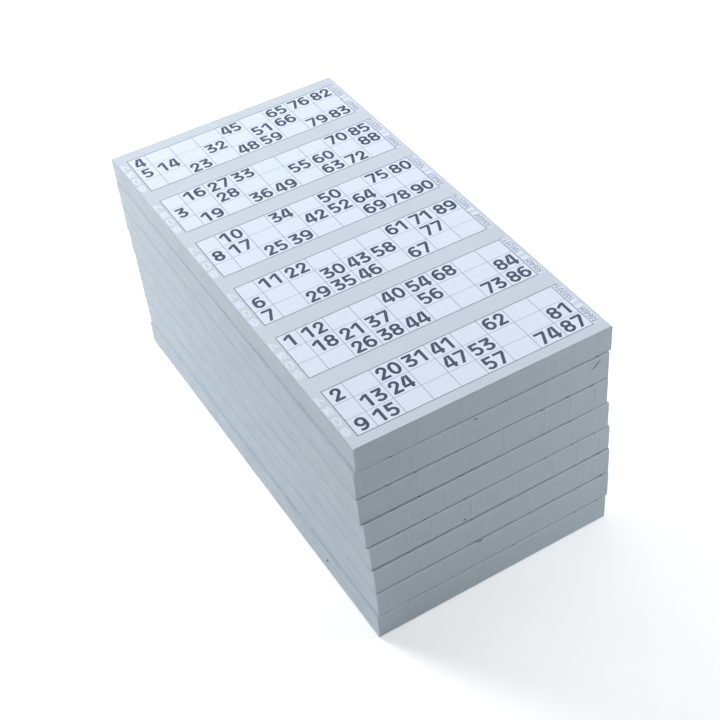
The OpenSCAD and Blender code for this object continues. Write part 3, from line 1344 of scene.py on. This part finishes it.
class BINGO_OT_stage(bpy.types.Operator):
    """Lays the floor and sets up the lights and the camera"""

    bl_idname = "bingo.stage"
    bl_label = "Set the Stage"

    def execute(self, context):
        stage = settings().stage
        self.floor(stage)
        self.sky(stage)
        for name, (place, size) in LAMPS.items():
            lamp(f"{name}_light", place, size, getattr(stage, f"{name}_power"))
        self.camera(stage)
        context.scene.view_settings.view_transform = "Standard"
        return {"FINISHED"}

    def floor(self, stage):
        """A pale floor that takes the shadow, and looks almost white to the camera."""
        circle = {"vertices": FLOOR_CORNERS, "radius": stage.floor_width / 2, "fill_type": "NGON"}
        floor = primitive(bpy.ops.mesh.primitive_circle_add, **circle, location=(0, 0, -FLOOR_DROP))
        floor.name = "floor"
        tree, shader = new_material("Floor")
        shade = [FLOOR_SHADE * level for level in stage.floor_colour]
        colour = mixed(tree, mottle(tree, (40, 40, 40), 3), stage.floor_colour, shade)
        feed(tree, shader.inputs["Base Color"], colour)
        shader.inputs["Roughness"].default_value = FLOOR_ROUGH
        shader.inputs["Emission Color"].default_value = (1, 1, 1, 1)
        lift = worked_out(tree, "MULTIPLY", seen_directly(tree), stage.floor_lift)
        feed(tree, shader.inputs["Emission Strength"], lift)
        coat(floor, "Floor")

    def sky(self, stage):
        """White where it is seen, and dim where it only lights."""
        world = bpy.data.worlds.new("Studio")
        world.use_nodes = True
        tree = world.node_tree
        strength = spread(tree, seen_directly(tree), 0, 1, stage.sky, 1)
        tree.nodes["Background"].inputs["Color"].default_value = (1, 1, 1, 1)
        feed(tree, tree.nodes["Background"].inputs["Strength"], strength)
        bpy.context.scene.world = world

    def camera(self, stage):
        """The camera, where the photograph was taken from."""
        camera = bpy.data.cameras.new("camera")
        camera.lens = stage.lens
        piece = new_object("camera", camera)
        piece.location = stage.camera_place
        piece.rotation_euler = stage.camera_turn
        bpy.context.scene.camera = piece


STEPS = (
    BINGO_OT_materials,
    BINGO_OT_stage,
    BINGO_OT_numbers,
    BINGO_OT_tickets,
    BINGO_OT_cut_leaves,
    BINGO_OT_covered_sheets,
    BINGO_OT_turning_sheets,
    BINGO_OT_gum,
    BINGO_OT_blade_marks,
    BINGO_OT_specks,
)


class BINGO_PT_sidebar(bpy.types.Panel):
    """The steps in the order they are run, and the settings they read"""

    bl_idname = "BINGO_PT_sidebar"
    bl_label = "Bingo Pads"
    bl_space_type = "VIEW_3D"
    bl_region_type = "UI"
    bl_category = "Bingo Pads"

    def draw(self, context):
        layout, bingo = self.layout, context.scene.bingo
        for step in STEPS:
            layout.operator(step.bl_idname)
        for name in ("serial_number", "control_number", "series_number"):
            layout.prop(bingo, name)
        for group in ("layout", "caller", "serial", "series", "paper", "colours", "stage"):
            box = layout.box()
            box.label(text=group.title())
            for name in getattr(bingo, group).__annotations__:
                box.prop(getattr(bingo, group), name)


CLASSES = (
    CallerStyle,
    SerialStyle,
    SeriesStyle,
    TicketLayout,
    PaperSettings,
    Colours,
    StageSettings,
    BingoSettings,
    *STEPS,
    BINGO_PT_sidebar,
)


def register():
    for each in CLASSES:
        bpy.utils.register_class(each)
    bpy.types.Scene.bingo = bpy.props.PointerProperty(type=BingoSettings)


def unregister():
    del bpy.types.Scene.bingo
    for each in reversed(CLASSES):
        bpy.utils.unregister_class(each)


def main():
    register()
    for step in STEPS:
        family, name = step.bl_idname.split(".")
        getattr(getattr(bpy.ops, family), name)()


if __name__ == "__main__":
    main()
